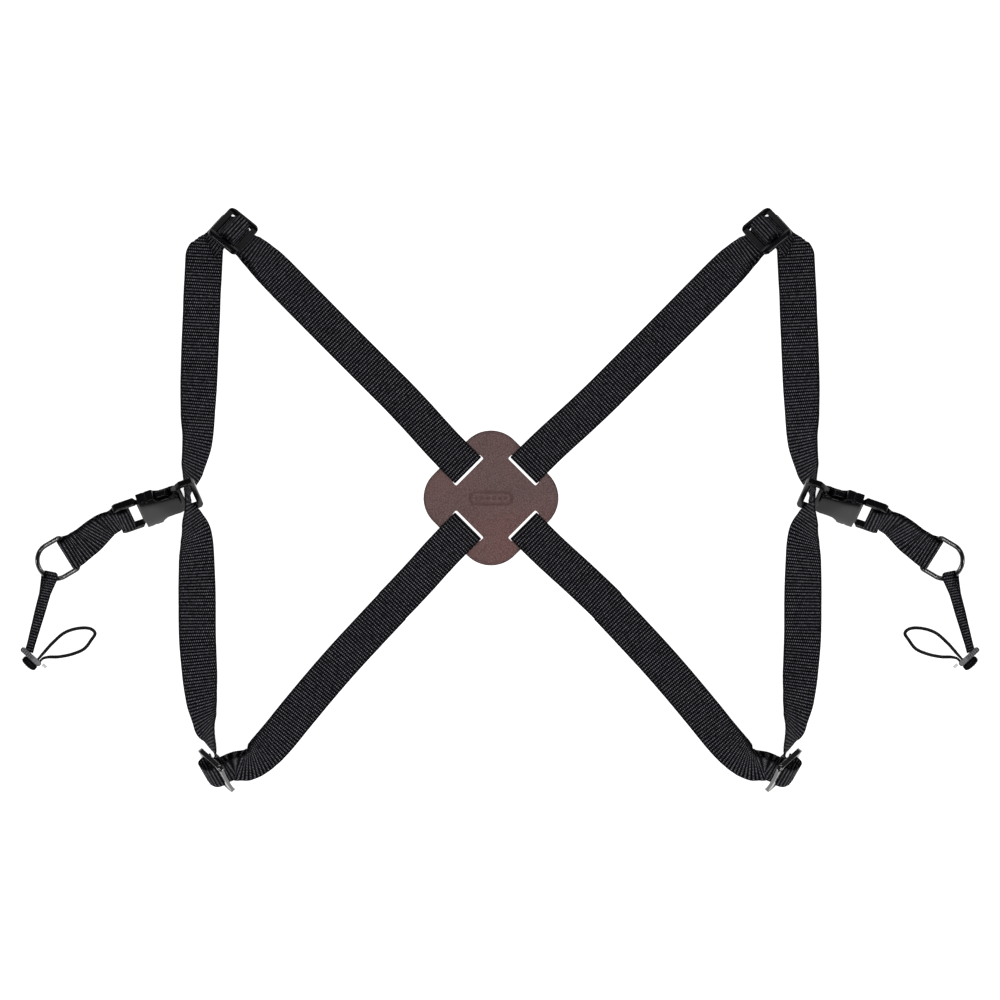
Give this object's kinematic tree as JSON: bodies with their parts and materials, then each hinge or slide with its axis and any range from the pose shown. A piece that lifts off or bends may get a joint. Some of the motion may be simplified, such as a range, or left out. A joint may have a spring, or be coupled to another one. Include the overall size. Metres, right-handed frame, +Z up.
{
  "type": "binocular harness",
  "caption": "Flat-laid elastic binocular harness: webbing straps cross at a leather back plate, with strap adjusters, side-release buckles, D-rings and cord tethers.",
  "frame": {"origin": "middle of the harness's outline, on the surface it lies on", "axes": "+X to the wearer's right across the back as seen from above, +Y towards the shoulders, +Z up off the surface"},
  "size_m": [0.6392, 0.389, 0.0394],
  "materials": {
    "leather": "fine grain, semi matte",
    "webbing": "ribbed woven webbing",
    "adjuster_plastic": "satin gloss black",
    "buckle_plastic": "fine matte texture",
    "ring_paint": "glossy black coating",
    "keeper_plastic": "satin light grey",
    "cord": "braided cord",
    "sleeve_plastic": "milky white"
  },
  "bodies": {
    "back_plate": {"back_plate": "leather", "left_upper_loop": "webbing", "left_lower_loop": "webbing", "right_upper_loop": "webbing", "right_lower_loop": "webbing"},
    "left_wing": {"left_upper_strap": "webbing", "left_upper_sewn_end": "webbing", "left_side_strap": "webbing", "left_lower_strap": "webbing", "left_lower_sewn_end": "webbing", "left_upper_adjuster": "adjuster_plastic", "left_lower_adjuster": "adjuster_plastic"},
    "left_socket": {"left_buckle_socket": "buckle_plastic"},
    "left_plug": {"left_buckle_plug": "buckle_plastic", "left_tab": "webbing"},
    "left_upper_prong_arm": {"left_upper_prong": "buckle_plastic"},
    "left_lower_prong_arm": {"left_lower_prong": "buckle_plastic"},
    "left_ring": {"left_d_ring": "ring_paint"},
    "left_tether": {"left_tether_tape": "webbing", "left_bead": "webbing", "left_sleeve": "sleeve_plastic", "left_cord_loop": "cord"},
    "left_cord_lock": {"left_keeper": "keeper_plastic"},
    "right_wing": {"right_upper_strap": "webbing", "right_upper_sewn_end": "webbing", "right_side_strap": "webbing", "right_lower_strap": "webbing", "right_lower_sewn_end": "webbing", "right_upper_adjuster": "adjuster_plastic", "right_lower_adjuster": "adjuster_plastic"},
    "right_socket": {"right_buckle_socket": "buckle_plastic"},
    "right_plug": {"right_buckle_plug": "buckle_plastic", "right_tab": "webbing"},
    "right_upper_prong_arm": {"right_upper_prong": "buckle_plastic"},
    "right_lower_prong_arm": {"right_lower_prong": "buckle_plastic"},
    "right_ring": {"right_d_ring": "ring_paint"},
    "right_tether": {"right_tether_tape": "webbing", "right_bead": "webbing", "right_sleeve": "sleeve_plastic", "right_cord_loop": "cord"},
    "right_cord_lock": {"right_keeper": "keeper_plastic"}
  },
  "joints": [
    {"name": "left_wing_fold", "type": "hinge", "parent": "back_plate", "child": "left_wing", "pos_m": [-0.072, 0, 0.0029], "axis": [0, 1, 0], "range_deg": [0, 85]},
    {"name": "left_socket_swing", "type": "hinge", "parent": "left_wing", "child": "left_socket", "pos_m": [-0.2068, 0.00303, 0.017], "axis": [-0.1635, 0.4721, 0.8662], "range_deg": [-12, 12]},
    {"name": "left_buckle_release", "type": "slide", "parent": "left_socket", "child": "left_plug", "axis": [-0.9449, -0.3273, 0], "range_m": [0, 0.035]},
    {"name": "left_upper_prong_squeeze", "type": "hinge", "parent": "left_plug", "child": "left_upper_prong_arm", "pos_m": [-0.23407, -0.00134, 0.02532], "axis": [-0.2835, 0.8185, -0.4996], "range_deg": [0, 8], "stiffness_Nm_per_rad": 0.6},
    {"name": "left_lower_prong_squeeze", "type": "hinge", "parent": "left_plug", "child": "left_lower_prong_arm", "pos_m": [-0.23093, -0.0104, 0.00868], "axis": [0.2835, -0.8185, 0.4996], "range_deg": [0, 8], "stiffness_Nm_per_rad": 0.6},
    {"name": "left_d_ring_swing", "type": "hinge", "parent": "left_plug", "child": "left_ring", "pos_m": [-0.2864, -0.03527, 0.011], "axis": [-0.3897, 0.7037, 0.5941], "range_deg": [-80, 80]},
    {"name": "left_tether_swing", "type": "hinge", "parent": "left_ring", "child": "left_tether", "pos_m": [-0.30006, -0.0518, 0.00644], "axis": [-0.7794, 0.3365, 0.5284], "range_deg": [-60, 60]},
    {"name": "left_keeper_slide", "type": "slide", "parent": "left_tether", "child": "left_cord_lock", "axis": [0.6691, 0.7431, 0], "range_m": [0, 0.002]},
    {"name": "right_wing_fold", "type": "hinge", "parent": "back_plate", "child": "right_wing", "pos_m": [0.072, 0, 0.0029], "axis": [0, -1, 0], "range_deg": [0, 85]},
    {"name": "right_socket_swing", "type": "hinge", "parent": "right_wing", "child": "right_socket", "pos_m": [0.2068, 0.00303, 0.017], "axis": [-0.1635, -0.4721, -0.8662], "range_deg": [-12, 12]},
    {"name": "right_buckle_release", "type": "slide", "parent": "right_socket", "child": "right_plug", "axis": [0.9449, -0.3273, 0], "range_m": [0, 0.035]},
    {"name": "right_upper_prong_squeeze", "type": "hinge", "parent": "right_plug", "child": "right_upper_prong_arm", "pos_m": [0.23407, -0.00134, 0.02532], "axis": [-0.2835, -0.8185, 0.4996], "range_deg": [0, 8], "stiffness_Nm_per_rad": 0.6},
    {"name": "right_lower_prong_squeeze", "type": "hinge", "parent": "right_plug", "child": "right_lower_prong_arm", "pos_m": [0.23093, -0.0104, 0.00868], "axis": [0.2835, 0.8185, -0.4996], "range_deg": [0, 8], "stiffness_Nm_per_rad": 0.6},
    {"name": "right_d_ring_swing", "type": "hinge", "parent": "right_plug", "child": "right_ring", "pos_m": [0.2864, -0.03527, 0.011], "axis": [-0.3897, -0.7037, -0.5941], "range_deg": [-80, 80]},
    {"name": "right_tether_swing", "type": "hinge", "parent": "right_ring", "child": "right_tether", "pos_m": [0.30006, -0.0518, 0.00644], "axis": [-0.7794, -0.3365, -0.5284], "range_deg": [-60, 60]},
    {"name": "right_keeper_slide", "type": "slide", "parent": "right_tether", "child": "right_cord_lock", "axis": [-0.6691, 0.7431, 0], "range_m": [0, 0.002]}
  ]
}
